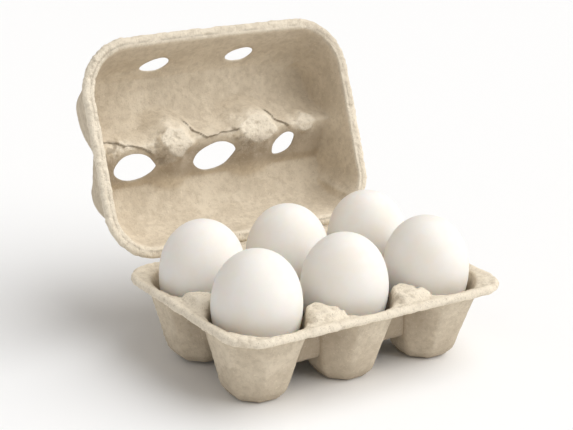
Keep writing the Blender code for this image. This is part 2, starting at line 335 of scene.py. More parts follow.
# %% [markdown]
# ## The tray
# Six cups stand in two rows of three, each on an eight-sided foot that softens upwards into a
# round mouth. Between the cups the pulp dips to low saddles and rises to hollow posts. One cup is
# a square patch of the pattern, pulled into rings: a ring's reach, height and roundness come from
# one table, read as a bent line with rounded corners. Rings lie closest where the wall bends.

# %% The tray's sizes
TRAY_CORNER = 17.5 * MM
SADDLE_Z = 14.0 * MM
SADDLE_HALF = 3.0 * MM
SADDLE_RISE = 10.0 * MM
MIDDLE_POST_Z = 47.0 * MM
SIDE_POST_Z = 44.0 * MM
SIDE_POST_INSET = 3.4 * MM
SIDE_POST_REACH = 10.2 * MM
POST_SPREAD = 12.5 * MM
SHORT_FOOT = (-1, 1)
SHORT_FOOT_LIFT = 1.6 * MM
SADDLE_BLEND = 3 * MM
CUP_LINES = 80

RING = np.array([0, 1, 2, 3, 4, 5, 6])
MOUTH_RING = 5
BEND_ROUNDING = 0.16
BLEND_ROUNDING = 0.3
RING_REACH = np.array([0, 6.0, 10.2, 13.5, 17.0, 21.4, 21.4]) * MM
RING_SHARE = np.array([0, 0, 0, 0.13, 0.48, 1.0, 1.0])
RING_Z = np.array([2.0, 2.0, 2.0, 6.4, 22.0, 39.4, 40.8]) * MM
RING_ROUND = np.array([0, 0, 0, 0, 0.06, 0.65, 1.0])
LEVEL_LINES = np.array([0, 0.10, 0.24, 0.40, 0.58, 0.80, 0.88, 1.0])
LEVEL_RINGS = np.array([0, 1.6, 2.5, 3.2, 4.0, 4.85, 5.15, 6.0])


# %% One cup
def octagon_share(angle):
    """How far an octagon with flats of reach 1 lies from its middle."""
    eighth = math.radians(45)
    return 1 / np.cos((angle + eighth / 2) % eighth - eighth / 2)


def round_share(angle, power=2.1):
    """The same for a slightly squared circle."""
    return (np.abs(np.cos(angle)) ** power + np.abs(np.sin(angle)) ** power) ** (-1 / power)


def form_cup(column, row, a, b):
    """Press one patch of the pattern into a cup. a and b run from -1 to 1 across it."""
    side_x = np.where(a >= 0, 1, -1)
    side_y = np.where(b >= 0, 1, -1)
    outer_x = side_x == column
    outer_y = side_y == row
    edge_x = np.where(outer_x, TRAY_HALF_X - EDGE_ROLL - PITCH, CELL)
    edge_y = np.where(outer_y, TRAY_HALF_Y - EDGE_ROLL - CELL, CELL)
    level = np.maximum(np.abs(a), np.abs(b))
    across = np.abs(a) / np.maximum(level, 1e-9)
    along = np.abs(b) / np.maximum(level, 1e-9)
    eighth = math.radians(45)
    angle = np.where(across >= along, eighth * along, 2 * eighth - eighth * across)
    ring = np.interp(level, LEVEL_LINES, LEVEL_RINGS)

    reach = soft_line(ring, RING, RING_REACH, BEND_ROUNDING)
    share = soft_line(ring, RING, RING_SHARE, BLEND_ROUNDING)
    roundness = soft_line(ring, RING, RING_ROUND, BLEND_ROUNDING)
    reach_x = np.where(outer_x, reach + (edge_x - LIP_FLAT - RING_REACH[MOUTH_RING]) * share, reach)
    reach_y = np.where(outer_y, reach + (edge_y - LIP_FLAT - RING_REACH[MOUTH_RING]) * share, reach)
    size = mix(octagon_share(angle), round_share(angle), roundness)
    to_edge = np.clip(ring - MOUTH_RING, 0, 1)
    edge_at_x = across * edge_x
    edge_at_y = along * edge_y
    arc_x, arc_y = corner_arc(edge_at_x, edge_at_y, edge_x, edge_y, TRAY_CORNER - EDGE_ROLL)
    corner = outer_x & outer_y
    x = mix(reach_x * size * np.cos(angle), np.where(corner, arc_x, edge_at_x), to_edge)
    y = mix(reach_y * size * np.sin(angle), np.where(corner, arc_y, edge_at_y), to_edge)

    z = soft_line(ring, RING, RING_Z, BEND_ROUNDING)
    z = z + post_height(x, y, edge_x, edge_y, outer_x, outer_y) * smooth_step((ring - 4.2) / 0.8)
    z = soft_min(z, saddle_cap(x, y, outer_x, outer_y), SADDLE_BLEND)
    if (column, row) == SHORT_FOOT:
        z = z + SHORT_FOOT_LIFT * smooth_step(1 - z / SADDLE_Z)
    return column * PITCH + side_x * x, row * CELL + side_y * y, z


def post_height(x, y, edge_x, edge_y, outer_x, outer_y):
    """How much higher than the rim a post stands, near a cup's corner."""
    away = np.hypot(CELL - x, CELL - y)
    middle = (MIDDLE_POST_Z - RIM_Z) * smooth_step(1 - away / POST_SPREAD)
    inward = np.where(outer_x, edge_x - x, edge_y - y)
    aside = np.where(outer_x, CELL - y, CELL - x)
    ridge = smooth_step((inward - SIDE_POST_INSET) / LIP)
    side = (SIDE_POST_Z - RIM_Z) * ridge * smooth_step((SIDE_POST_REACH - aside) / (3 * MM))
    return np.where(outer_x & outer_y, 0.0, np.where(outer_x | outer_y, side, middle))


def saddle_cap(x, y, outer_x, outer_y):
    """The most a wall may rise between two cups, where the pulp dips to a saddle."""
    away = np.where(outer_x, x, np.where(outer_y, y, np.minimum(x, y)))
    rise = smooth_step((away - SADDLE_HALF) / SADDLE_RISE)
    return np.where(outer_x & outer_y, 1.0, mix(SADDLE_Z, MIDDLE_POST_Z + 4 * MM, rise))


# %% The whole tray
def tray_pattern():
    """Three by two cups in one grid, with the lip's rows round it."""
    bm = flat_pattern(np.linspace(0, 3, 3 * CUP_LINES + 1), np.linspace(0, 2, 2 * CUP_LINES + 1))
    add_lip_rows(bm, [edge for edge in bm.edges if edge.is_boundary])
    return bm


def form_tray(pattern):
    """Press the whole pattern, cup by cup, then roll its lip."""
    column = np.clip(np.floor(pattern[:, 0]), 0, 2).astype(int)
    row = np.clip(np.floor(pattern[:, 1]), 0, 1).astype(int)
    points = np.zeros_like(pattern)
    for i, j in itertools.product(range(3), range(2)):
        here = (column == i) & (row == j)
        a = (pattern[here, 0] - i) * 2 - 1
        b = (pattern[here, 1] - j) * 2 - 1
        x, y, z = form_cup(i - 1, j * 2 - 1, a, b)
        points[here] = np.stack([x, y, z], axis=1)
    half_x = TRAY_HALF_X - EDGE_ROLL
    half_y = TRAY_HALF_Y - EDGE_ROLL
    return roll_lip(points, pattern[:, 2], half_x, half_y, TRAY_CORNER - EDGE_ROLL, -1)


def roll_lip(points, share, half_x, half_y, radius, way):
    """Carry the lip's rows outwards and round, down (-1) or up (1), in a part circle."""
    turn = share * ROLL_TURN
    out_x, out_y = outward(points[:, 0], points[:, 1], half_x, half_y, radius)
    points = points.copy()
    points[:, 0] += out_x * EDGE_ROLL * np.sin(turn)
    points[:, 1] += out_y * EDGE_ROLL * np.sin(turn)
    points[:, 2] += way * EDGE_ROLL * (1 - np.cos(turn))
    return points


def between_cups(pattern):
    """1 where the sheet dips between two cups, 0 on the carton's outer walls and in the cups."""
    near = np.zeros(len(pattern))
    for axis, lines in ((0, (1, 2)), (1, (1,))):
        for line in lines:
            near = np.maximum(near, 1 - np.abs(pattern[:, axis] - line) / 0.42)
    return smooth_step(near * 1.4)


def tray_masks(mesh, points, pattern):
    """Mark the lip and the tops of the posts for the relief and the material, and paint shade between the
    cups and low on the feet.
    """
    inset = np.minimum(TRAY_HALF_X - np.abs(points[:, 0]), TRAY_HALF_Y - np.abs(points[:, 1]))
    lip = smooth_step(1.4 - inset / LIP) * (points[:, 2] > RIM_Z - 5 * MM)
    top = smooth_step((points[:, 2] - RIM_Z + 3 * MM) / (3 * MM))
    write_mask(mesh, "lip", lip)
    write_mask(mesh, "post", top * (1 - lip))
    write_mask(mesh, "crack", np.zeros(len(points)))
    # Painted shade: darker below the rim where the sheet dips between the cups, and darker towards the floor
    # on every foot.
    deep_shade = smooth_step((RIM_Z - 5 * MM - points[:, 2]) / (8 * MM))
    low_shade = 0.5 * smooth_step(1 - points[:, 2] / (24 * MM))
    write_mask(mesh, "painted_shade", np.maximum(between_cups(pattern) * deep_shade, low_shade) * (1 - lip))
    return lip_weights(mix(PULP / BEAD, 1.0, lip), pattern[:, 2])


def make_tray():
    """The tray as one closed mesh."""
    piece = new_piece("tray_pulp", tray_pattern())
    pattern = read_points(piece.data)
    points = form_tray(pattern)
    write_points(piece.data, points)
    thicken(piece, tray_masks(piece.data, points, pattern), -1)
    piece.data.transform(Matrix.Translation((0, TRAY_MIDDLE_Y, 0)))
    add_relief(piece.data, 11)
    keep_in_box(piece.data, tray_low, tray_high)
    piece.data.shade_smooth()
    return piece


tray = make_tray()
print("tray:", len(tray.data.polygons), "faces")

# %% [markdown]
# ## The lid
# The lid is a domed sheet: a panel near the hinge, a groove with three view holes, a hump, and a
# front wall with two latch slots. The groove's crest is pressed down to blunt posts that hold the
# eggs apart when the lid is shut. Its pattern is measured forwards from the hinge (v) and across
# (x), and its height (w) is measured from the rim's plane, as if it were shut.

# %% The lid's sizes
LID_LENGTH = 111.2 * MM
LID_FRONT_CORNER = 28.5 * MM
LID_FRONT_BOW = 1.0 * MM
LID_BACK_CORNER = 26.0 * MM
LID_SIDE_DRAFT = 5.0 * MM
HINGE_GAP = 0.5 * MM
PROFILE_V = np.array([0, 4.8, 8.5, 14, 20, 26.5, 32.5, 38, 41.2, 46.5, 53.5, 57.5, 61.5, 67, 73.5, 80,
                      87, 93, 97.5, 101, 103.8, 106.4, 111.2]) * MM
PROFILE_W = np.array([0, 0.4, 10.5, 20.5, 27, 30, 31.2, 31.4, 27.0, 23.2, 18.2, 15.6, 20, 26.2, 30.4, 31.9,
                      31.8, 29.6, 23.6, 15, 7, 0.4, 0]) * MM
SIDE_WALL_TOP = 33 * MM
LID_POST_V = 58.0 * MM
LID_POST_SHIFT = -0.8 * MM
LID_POST_TIP = 12.8 * MM
LID_POST_HALF = np.array([12.5, 15.0]) * MM
LID_POST_FRONT = 10.5 * MM
LID_POST_BACK = 13 * MM
LID_POST_SLOPE = 15.0 * MM
END_POST_X = 54.5 * MM
END_POST_SHARE = 0.55
END_POST_LENGTH = 0.62
END_POST_RISE = np.array([6.5, 3.6]) * MM


# %% [markdown]
# The pattern's lines run closest at the walls and the crest. Near the border they bend round the
# lid's corners in rings: a line's ring number comes from the same list of insets on every side.


# %% The lid's grid lines and rings
edge_x = LID_HALF_X - EDGE_ROLL
RING_X = np.array([edge_x] + [edge_x - LIP_FLAT - share * LID_SIDE_DRAFT for share in (0, 0.2, 0.5, 0.9)]
                  + [CELL / 4 * count for count in range(10, -1, -1)])
shrink = (LID_LENGTH - 2 * LIP_FLARE - HINGE_GAP) / LID_LENGTH
ROW_V = HINGE_GAP + LIP_FLARE + PROFILE_V * shrink
ROW_V[0] = HINGE_GAP + EDGE_ROLL
ROW_V[-1] = LID_LENGTH - EDGE_ROLL
LID_MIDDLE = LID_LENGTH / 2
RINGS = np.arange(len(RING_X))


def spread_lines(places, gaps):
    """Grid lines through these places, with about this gap between lines in each stretch."""
    lines = [places[0]]
    for first, second, gap in zip(places, places[1:], gaps):
        count = max(round((second - first) / gap), 1)
        lines += list(np.linspace(first, second, count + 1)[1:])
    return np.array(lines)


def lid_lines():
    """The pattern's lines across and along: closest at the walls and along the crest."""
    half = np.array([0, edge_x - 13 * MM, edge_x - LIP_FLAT - 2 * MM, edge_x - LIP_FLAT, edge_x])
    right = spread_lines(half, np.array([0.72, 0.46, 0.28, 0.55]) * MM)
    xs = np.concatenate([-right[:0:-1], right])
    stops = np.array([ROW_V[0], ROW_V[1], 9 * MM, 38 * MM, 43 * MM, 70 * MM, 91 * MM, ROW_V[-2], ROW_V[-1]])
    vs = spread_lines(stops, np.array([0.6, 0.45, 0.95, 0.6, 0.42, 0.9, 0.52, 0.6]) * MM)
    return xs, vs


# %% Forming the lid
def lid_plan(x, v):
    """Where a point of the pattern lies in plan, with its ring's corners rounded."""
    from_x = np.interp(-np.abs(x), -RING_X, RINGS)
    back = np.interp(v, ROW_V[:12], np.arange(12))
    front = np.interp(-v, -ROW_V[:10:-1], np.arange(12))
    is_front = v > LID_MIDDLE
    ring = np.minimum(from_x, np.where(is_front, front, back))
    half_x = np.interp(ring, RINGS, RING_X)
    half_back = LID_MIDDLE - np.interp(ring, np.arange(12), ROW_V[:12])
    half_front = np.interp(ring, np.arange(12), ROW_V[:10:-1]) - LID_MIDDLE
    half_y = np.where(is_front, half_front, half_back)
    corner = np.where(is_front, LID_FRONT_CORNER, LID_BACK_CORNER)
    radius = corner - EDGE_ROLL - (edge_x - half_x)
    at_x, at_y = corner_arc(np.abs(x), np.abs(v - LID_MIDDLE), half_x, half_y, radius)
    at_v = LID_MIDDLE + np.where(is_front, at_y, -at_y)
    bow = LID_FRONT_BOW * (at_v / LID_LENGTH) ** 4 * (1 - (at_x / LID_HALF_X) ** 2)
    return np.copysign(at_x, x), at_v + bow


def side_wall_height(x):
    """How high the end walls reach."""
    inset = edge_x - LIP_FLAT - np.abs(x)
    lip = 0.4 * MM * (1 - np.clip(-inset / LIP_FLAT, 0, 1))
    wall = 0.4 * MM + SIDE_WALL_TOP * np.clip(inset / LID_SIDE_DRAFT, 0, 1.8)
    return np.where(inset <= 0, lip, wall)


# %% [markdown]
# A post is a blunt heart-shaped boss, wide where it runs into the hump and narrow towards the
# hinge. Between the posts the crest has split: where the wet sheet was folded too sharply it
# tore, and the upper edge of each tear stands a little proud of the lower one.

# %% The posts and the split crest
CRACKS = (
    ((-66, 63.0), (-62.5, 62.3), (-57.5, 60.6), (-54.2, 58.7), (-49, 57.8), (-43.8, 55.7), (-39, 53)),
    ((-14.8, 67.1), (-12.4, 61.7), (-6.7, 56.9), (2.1, 58.3), (11.1, 58.8)),
    ((33.6, 67.1), (37.3, 61.8), (43.8, 56.9)),
)
CRUMBLES = ((-41, 55, 6), (-35, 51, 5), (11, 56, 5), (-60, 58, 6), (14, 50, 4))
LIP_GROOVE = 0.55
TEAR_PROUD = 1.3 * MM
TEAR_REACH = 2.6 * MM
TEAR_WIDTH = 0.65 * MM


def post_level(x, v):
    """0 in the middle of the nearest post, 1 on its outline."""
    side = v - LID_POST_V
    half = np.where(side > 0, LID_POST_FRONT, LID_POST_BACK)
    along = np.clip(np.abs(side) / half, 0, 3)
    wide = np.where(x > 0, LID_POST_HALF[1], LID_POST_HALF[0])
    middle = np.abs(np.abs(x - LID_POST_SHIFT) - CELL) / wide
    end = np.abs(np.abs(x) - END_POST_X) / (wide * END_POST_SHARE)
    place = np.stack([x, v, np.zeros(len(x))], axis=1)
    level = (middle**1.7 + along**1.7) ** (1 / 1.7)
    level = np.minimum(level, (end**1.7 + (along / END_POST_LENGTH) ** 1.7) ** (1 / 1.7))
    return level + 0.17 * lumps(place, 5 * MM, 61) * smooth_step(2 - 1.4 * level)


def crack_sides(x, v):
    """How far points lie from the nearest tear, and on which side of it, in metres."""
    nearest = np.full(len(x), 1.0)
    side = np.zeros(len(x))
    place = np.stack([x, v, np.zeros(len(x))], axis=1)
    sway_x = 0.8 * MM * rough(place, 3.4 * MM, 71)
    sway_v = 0.8 * MM * rough(place, 3.4 * MM, 75)
    for points in CRACKS:
        for first, second in zip(points, points[1:]):
            start = np.array(first) * MM
            run = np.array(second) * MM - start
            dx = x + sway_x - start[0]
            dv = v + sway_v - start[1]
            share = np.clip((dx * run[0] + dv * run[1]) / (run @ run), 0, 1)
            away = np.hypot(dx - share * run[0], dv - share * run[1])
            closer = away < nearest
            nearest = np.where(closer, away, nearest)
            side = np.where(closer, np.sign(run[0] * dv - run[1] * dx), side)
    return nearest, side


def lid_roof(x, v):
    """The roof with its posts and tears, before the end walls close it."""
    roof = soft_line(v, ROW_V, PROFILE_W, 1.3 * MM)
    level = post_level(x, v)
    end = smooth_step((np.abs(x) - 40 * MM) / (8 * MM))
    tip = LID_POST_TIP + end * np.where(x > 0, END_POST_RISE[1], END_POST_RISE[0])
    post = tip + LID_POST_SLOPE * np.maximum(level - 0.62, 0)
    height = soft_min(roof, post, 2.4 * MM)
    away, side = crack_sides(x, v)
    proud = TEAR_PROUD * np.exp(-((away / TEAR_REACH) ** 2)) * (side > 0)
    return height - proud


def lid_height(x, v):
    """The height of the lid's inner surface above the rim's plane."""
    wall = side_wall_height(x)
    return soft_min(lid_roof(x, v), wall, np.clip(wall, 0.2 * MM, 6 * MM))


CORNER_BLUR = 3.7 * MM
CORNER_ROOM = 1.6 * MM
CORNER_START = 12 * MM
CORNER_FADE = 16 * MM
CORNER_TURNS = 12


def soft_corner_height(x, v):
    """The same, averaged over a small disc in the corners, where the walls would meet in a crease."""
    inset_x = edge_x - np.abs(x)
    inset_v = np.minimum(v - ROW_V[0], ROW_V[-1] - v)
    near_x = smooth_step(1 - (inset_x - CORNER_START) / CORNER_FADE)
    near_v = smooth_step(1 - (inset_v - CORNER_START) / CORNER_FADE)
    corner = near_x * near_v
    corner = corner * smooth_step((np.minimum(inset_x, inset_v) - LIP_FLAT) / (4 * MM))
    reach = CORNER_BLUR * corner
    total = lid_height(x, v)
    count = 1
    for turn in range(CORNER_TURNS):
        angle = math.radians(360 / CORNER_TURNS * turn)
        size = 1.0 if turn % 2 else 0.55
        total = total + lid_height(x + reach * size * math.cos(angle), v + reach * size * math.sin(angle))
        count += 1
    return total / count + CORNER_ROOM * corner


# %% [markdown]
# The openings are cut in the flat pattern, before it is pressed: the faces inside an outline are
# removed, the points round the gap are spread along the outline, and the points behind them are
# relaxed. That is cleaner than a Boolean on a curved sheet, and leaves no slivers. An outline is
# an oval with a power for each end, so that one end can be blunt and the other pointed.

# %% Openings in the pattern
# Each: middle across and along, half length, half width, power of the left and right ends, turn.
VIEW_HOLES = (
    (-47.8, 47.7, 11.9, 6.5, 2.0, 1.35, -4),
    (-0.6, 47.3, 12.4, 6.6, 1.45, 1.65, 7),
    (42.5, 48.3, 7.6, 4.8, 1.8, 1.7, 24),
)
LATCH_SLOTS = ((-26.7, 97.8, 8.2, 2.5, 1.5, 1.9, 2), (24.2, 98.0, 8.3, 2.6, 1.7, 1.9, 0))


def outline_point(opening, angle):
    """The point of an opening's outline in this direction from its middle."""
    middle_x, middle_v, half_long, half_wide, left, right, turn = opening
    along = math.cos(angle)
    aside = math.sin(angle)
    power = left if along < 0 else right
    uneven = 0.02 * math.sin(3 * angle + middle_x) + 0.012 * math.sin(5 * angle - middle_x)
    low = 0.1
    high = 2.0
    for _ in range(24):
        size = (low + high) / 2
        inside = (size * abs(along)) ** 2.1 + (size * abs(aside)) ** power < 1
        low, high = (size, high) if inside else (low, size)
    dx = low * along * half_long * (1 + uneven)
    dv = low * aside * half_wide * (1 + uneven)
    c = math.cos(math.radians(turn))
    s = math.sin(math.radians(turn))
    return (middle_x + dx * c - dv * s) * MM, (middle_v + dx * s + dv * c) * MM


def outline_angle(opening, x, v):
    """The direction of a point from an opening's middle, in its own stretched frame."""
    middle_x, middle_v, half_long, half_wide, _, _, turn = opening
    c = math.cos(math.radians(turn))
    s = math.sin(math.radians(turn))
    dx = (x / MM - middle_x) * c + (v / MM - middle_v) * s
    dv = (v / MM - middle_v) * c - (x / MM - middle_x) * s
    return math.atan2(dv / half_wide, dx / half_long)


def is_inside(opening, x, v):
    """Whether a point lies inside an opening's outline."""
    edge_at = outline_point(opening, outline_angle(opening, x, v))
    middle = (opening[0] * MM, opening[1] * MM)
    return math.dist((x, v), middle) < math.dist(edge_at, middle)


def walk_round(edges):
    """The points of a closed loop of edges, in order."""
    start = edges[0]
    order = [start.verts[0], start.verts[1]]
    left = set(edges) - {start}
    while order[-1] is not order[0]:
        step = next(edge for edge in order[-1].link_edges if edge in left)
        left.discard(step)
        order.append(step.other_vert(order[-1]))
    return order[:-1]


def cut_openings(bm):
    """Remove the faces inside each opening and draw its edge true."""
    for opening in VIEW_HOLES + LATCH_SLOTS:
        inside = []
        for face in bm.faces:
            centre = face.calc_center_median()
            near = abs(centre.x / MM - opening[0]) < 16 and abs(centre.y / MM - opening[1]) < 10
            if near and is_inside(opening, centre.x, centre.y):
                inside.append(face)
        around = {edge for face in inside for edge in face.edges}
        bmesh.ops.delete(bm, geom=inside, context="FACES")
        loop = walk_round([edge for edge in around if edge.is_valid and edge.is_boundary])
        angles = np.unwrap([outline_angle(opening, vertex.co.x, vertex.co.y) for vertex in loop])
        full = 2 * math.pi * np.sign(angles[-1] - angles[0])
        for _ in range(6):
            before = np.concatenate([angles[-1:] - full, angles[:-1]])
            after = np.concatenate([angles[1:], angles[:1] + full])
            angles = 0.5 * angles + 0.25 * (before + after)
        for vertex, angle in zip(loop, angles):
            vertex.co.x, vertex.co.y = outline_point(opening, angle)
        near = set(loop)
        for _ in range(4):
            near |= {edge.other_vert(vertex) for vertex in near for edge in vertex.link_edges}
        for _ in range(6):
            behind = list(near - set(loop))
            bmesh.ops.smooth_vert(bm, verts=behind, factor=0.5, use_axis_x=True, use_axis_y=True)


EDGE_POINTS = 90
THIN_REACH = 3.2 * MM
THIN_SHARE = 0.3


def edge_thinness(x, v):
    """The sheet's thickness as a share, worn thin towards the openings' edges."""
    away = np.full(len(x), 1.0)
    for opening in VIEW_HOLES + LATCH_SLOTS:
        for count in range(EDGE_POINTS):
            at_x, at_v = outline_point(opening, math.radians(360 / EDGE_POINTS * count))
            away = np.minimum(away, np.hypot(x - at_x, v - at_v))
    return mix(THIN_SHARE, 1.0, smooth_step(away / THIN_REACH))


ROUGH_BAND_V = 57 * MM
ROUGH_BAND_REACH = 8 * MM
FOLD_V = 47 * MM
FOLD_REACH = 10.5 * MM
FRONT_SHADE = 0.24
END_SHADE = 0.30
POST_MARK = 0.85


def lid_masks(mesh, pattern):
    """Mark the lip, the posts and the tears, mark painted shade on the front wall, the right end and the
    fold, and give the sheet's thickness.
    """
    x = pattern[:, 0]
    v = pattern[:, 1]
    inset = np.minimum(edge_x - np.abs(x), np.minimum(v - ROW_V[0], ROW_V[-1] - v))
    lip = smooth_step((LIP_FLAT + 1.2 * MM - inset) / (2 * MM))
    away, _ = crack_sides(x, v)
    place = np.stack([x, v, np.zeros(len(x))], axis=1)
    crumble = np.zeros(len(x))
    for at_x, at_v, size in CRUMBLES:
        crumble = np.maximum(crumble, smooth_step(1.4 - np.hypot(x / MM - at_x, v / MM - at_v) / size))
    band = smooth_step(1 - np.abs(v - ROUGH_BAND_V) / ROUGH_BAND_REACH)
    band = band * smooth_step(0.3 + rough(place, 8 * MM, 81))
    patchy = 0.45 * rough(place, 6 * MM, 83)
    post = smooth_step((1.25 + patchy - post_level(x, v)) / 0.6)
    post = np.maximum(post, np.maximum(0.7 * crumble, 0.7 * band))
    gaps = crumble * smooth_step((rough(place, 3.2 * MM, 84) - 0.12) / 0.25)
    thin = edge_thinness(x, v)
    post = post * (1 - lip) * smooth_step((thin - 0.4) / 0.5)
    fold_shade = smooth_step(1.5 * (1 - np.abs(v - FOLD_V) / FOLD_REACH))
    fold_shade = fold_shade * smooth_step((edge_x - 5 * MM - np.abs(x)) / (6 * MM))
    to_end = np.sign(x) * smooth_step(np.abs(x) / edge_x - 0.6)
    broken = smooth_step(0.6 + 1.6 * rough(place, 7 * MM, 85) - 0.4 * to_end)
    groove = LIP_GROOVE * broken * smooth_step(1 - np.abs(inset - LIP_FLAT * 0.45) / (0.8 * MM))
    groove = groove * (pattern[:, 2] < 0.5 / LIP_ROWS)
    # Painted shade: darker on the front wall, in the right end's corner and along the fold below the crest.
    front = FRONT_SHADE * smooth_step((v - 93 * MM) / (7 * MM))
    shaded = END_SHADE * smooth_step((x - 54 * MM) / (14 * MM)) * smooth_step((v - 50 * MM) / (24 * MM))
    write_mask(mesh, "painted_shade", front + shaded + fold_shade * (1.0 + 0.5 * rough(place, 9 * MM, 88)))
    write_mask(mesh, "lip", lip)
    write_mask(mesh, "post", POST_MARK * post)
    # The tears, the crumbled gaps and the lip's groove are sunk in the relief and darkened in the material,
    # as painted shade.
    thread = smooth_step(1.1 + 0.5 * rough(place, 2.4 * MM, 86) - away / TEAR_WIDTH)
    torn = np.maximum(thread, 0.75 * gaps) * (1 - lip) * (thin > 0.6)
    write_mask(mesh, "crack", np.maximum(torn, groove))
    return lip_weights(mix(PULP / BEAD, 0.95, lip), pattern[:, 2]) * thin


def make_lid():
    """The lid as one closed mesh, opened on its hinge."""
    bm = flat_pattern(*lid_lines())
    border = [edge for edge in bm.edges if edge.is_boundary]
    cut_openings(bm)
    add_lip_rows(bm, border)
    bmesh.ops.reverse_faces(bm, faces=bm.faces)
    piece = new_piece("lid_pulp", bm)
    pattern = read_points(piece.data)
    x, v = lid_plan(pattern[:, 0], pattern[:, 1])
    w = soft_corner_height(pattern[:, 0], pattern[:, 1])
    half_v = (ROW_V[-1] - ROW_V[0]) / 2
    middle = (ROW_V[-1] + ROW_V[0]) / 2
    points = np.stack([x, middle - v, w], axis=1)
    points = roll_lip(points, pattern[:, 2], edge_x, half_v, LID_BACK_CORNER - EDGE_ROLL, 1)
    points[:, 1] -= middle
    write_points(piece.data, points)
    thicken(piece, lid_masks(piece.data, pattern), 1)
    piece.data.transform(Matrix.Translation(HINGE) @ Matrix.Rotation(-OPEN_ANGLE, 4, "X"))
    add_relief(piece.data, 41)
    keep_in_box(piece.data, lid_low, lid_high)
    piece.data.shade_smooth()
    return piece


lid = make_lid()
print("lid:", len(lid.data.polygons), "faces")

# %% [markdown]
# ## The eggs
# A hen's egg is nearly an ellipsoid, swollen at the blunt end, which stands up here. Its outline
# is a half ellipse with its radius stretched by a gentle exponential, turned round the long axis.

# %% The eggs' sizes
EGG_BASE_Z = 11.4 * MM
EGG_BLUNTNESS = 0.10
EGGS = (
    ("egg_front_left", -1, -1, 58.8, 42.4, 0.0, 0.0),
    ("egg_front_middle", 0, -1, 58.2, 42.0, -0.5, 0.0),
    ("egg_front_right", 1, -1, 58.6, 42.0, -2.5, 0.5),
    ("egg_back_left", -1, 1, 58.6, 42.0, 3.0, 0.0),
    ("egg_back_middle", 0, 1, 58.4, 41.8, 0.5, 0.0),
    ("egg_back_right", 1, 1, 58.0, 41.0, -3.0, -1.0),
)


def make_egg(name, column, row, length, diameter, lean_x, lean_y):
    """One egg as a turned mesh, leaning a little in its cup."""
    bm = bmesh.new()
    bmesh.ops.create_uvsphere(bm, u_segments=128, v_segments=80, radius=1)
    piece = new_piece(name + "_shell", bm)
    points = read_points(piece.data)
    swell = np.exp(EGG_BLUNTNESS * points[:, 2])
    widest = math.exp(EGG_BLUNTNESS**2 / 2)
    radius = diameter * MM / 2 * swell / widest
    points = np.stack([points[:, 0] * radius, points[:, 1] * radius, points[:, 2] * length * MM / 2], axis=1)
    uneven = 1 + 0.004 * rough(points + column + 3 * row, 18 * MM, 91)
    points = points * uneven[:, None]
    lean = Matrix.Rotation(math.radians(lean_x), 4, "Y") @ Matrix.Rotation(-math.radians(lean_y), 4, "X")
    place = (column * PITCH, TRAY_MIDDLE_Y + row * CELL, EGG_BASE_Z + length * MM / 2)
    write_points(piece.data, points)
    piece.data.transform(Matrix.Translation(place) @ lean)
    piece.data.shade_smooth()
    return piece


eggs = [make_egg(*egg) for egg in EGGS]
print("eggs:", [egg.name for egg in eggs])


# %% [markdown]
# ## The crease at the hinge
# Tray and lid are one pressing, joined by a crease of thin, bent pulp. It bridges the wedge between
# the two lips at the back. It is made as a bent band with ragged ends.

# %% The crease's sizes
CREASE_HALF_X = 53 * MM
CREASE_RADIUS = 1.15 * MM
CREASE_BODY = 0.9 * MM
CREASE_FROM = math.radians(-112)
CREASE_TO = math.radians(2)


def make_crease():
    """A band of pulp bent round the hinge line, below and behind it."""
    bm = flat_pattern(np.linspace(-1, 1, 161), np.linspace(0, 1, 13))
    piece = new_piece("hinge_crease", bm)
    pattern = read_points(piece.data)
    across = pattern[:, 1]
    ragged = 1 - 0.035 * (0.5 + 0.5 * np.sin(9 * across + 5 * np.sign(pattern[:, 0])))
    angle = mix(CREASE_FROM, CREASE_TO, across)
    x = pattern[:, 0] * CREASE_HALF_X * ragged
    sag = 0.25 * MM * np.sin(x / (7 * MM)) * np.sin(math.pi * across)
    radius = CREASE_RADIUS + CREASE_BODY / 2 + sag
    points = np.stack([x, HINGE.y + radius * np.cos(angle), HINGE.z + radius * np.sin(angle)], axis=1)
    write_points(piece.data, points)
    # The crease is marked as lip, a little rough, and a little darker all over as painted shade.
    for name, value in (("lip", 1.0), ("post", 0.3), ("crack", 0.0), ("painted_shade", 0.3)):
        write_mask(piece.data, name, np.full(len(points), value))
    thicken(piece, np.full(len(points), CREASE_BODY / BEAD), 1)
    write_mask(piece.data, "pit", np.zeros(len(piece.data.vertices)))
    piece.data.shade_smooth()
    return piece


crease = make_crease()
print("crease:", len(crease.data.polygons), "faces")

# %% [markdown]
# ## Finishes
# Both finishes are matt and pale, so what tells them apart is their grain. Pulp is short wood
# fibres, matted flat: it has soft blotches, squiggly single fibres, dark specks and a felt-like
# relief. Eggshell is even, with pores too fine to see one by one. Each effect is a node group
# with named values, so that the tray, the lid and the crease share it.

# %% Helpers for nodes
def new_group(name, inputs, outputs):
    """An empty node group with these sockets. Returns its tree, its input node and its output node."""
    tree = bpy.data.node_groups.new(name, "ShaderNodeTree")
    for label, kind, value in inputs:
        socket = tree.interface.new_socket(name=label, in_out="INPUT", socket_type="NodeSocket" + kind)
        if value is not None:
            socket.default_value = value
    for label, kind in outputs:
        tree.interface.new_socket(name=label, in_out="OUTPUT", socket_type="NodeSocket" + kind)
    return tree, tree.nodes.new("NodeGroupInput"), tree.nodes.new("NodeGroupOutput")


def is_socket(value):
    """Whether a value comes from another node."""
    return isinstance(value, bpy.types.NodeSocket)


def node(tree, kind, inputs=None, **settings):
    """A node with its settings, and its inputs linked or set."""
    made = tree.nodes.new("ShaderNode" + kind)
    for name, value in settings.items():
        setattr(made, name, value)
    for name, value in (inputs or {}).items():
        if is_socket(value):
            tree.links.new(value, made.inputs[name])
        else:
            made.inputs[name].default_value = value
    return made


def maths(tree, operation, first, second):
    """One sum of two values."""
    return node(tree, "Math", {0: first, 1: second}, operation=operation).outputs[0]


def weigh(tree, first, first_share, second, second_share):
    """Two values added, each times its share."""
    first = maths(tree, "MULTIPLY", first, first_share)
    return maths(tree, "ADD", first, maths(tree, "MULTIPLY", second, second_share))


